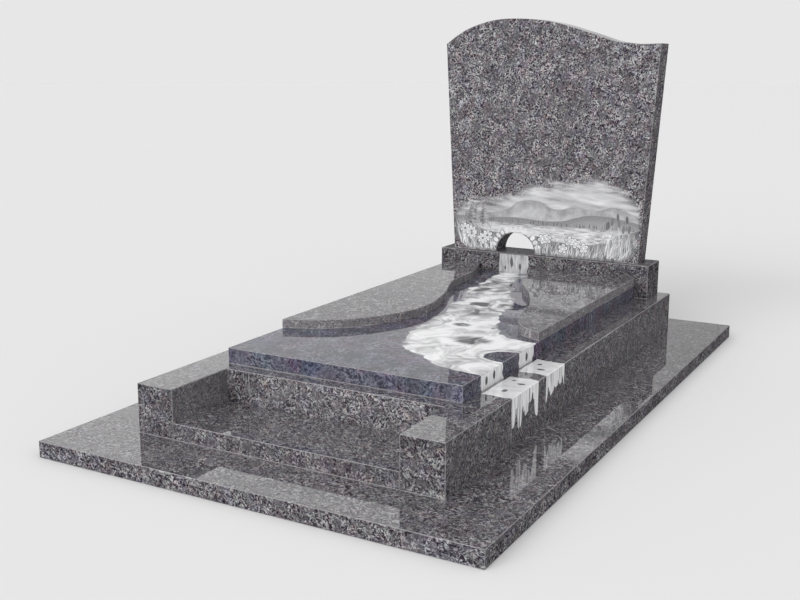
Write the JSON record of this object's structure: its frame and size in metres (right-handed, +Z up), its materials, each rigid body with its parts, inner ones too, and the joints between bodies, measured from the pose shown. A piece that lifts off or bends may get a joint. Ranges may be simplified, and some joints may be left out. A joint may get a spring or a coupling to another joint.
{
  "type": "grave monument",
  "caption": "Granite grave monument: base slab, kerb frame with a low front step, tomb slab with two curved raised slabs, and a flared headstone with a wavy top and an arch at its foot.",
  "frame": {"origin": "middle of the base slab's underside, on the ground", "axes": "+X to the right for a visitor at the foot end, +Y from the foot end to the headstone, +Z up"},
  "size_m": [1.4, 2.4, 1.2813],
  "materials": {
    "brown_granite": "polished",
    "blue_granite": "polished"
  },
  "bodies": {
    "root": {"base_slab": "brown_granite", "kerb_left": "brown_granite", "kerb_right": "brown_granite", "front_step": "brown_granite", "front_rail": "brown_granite", "back_rail": "brown_granite", "tomb_slab": "blue_granite", "bank_left": "brown_granite", "bank_right": "brown_granite", "stele_base": "brown_granite", "stele": "brown_granite"}
  },
  "joints": []
}
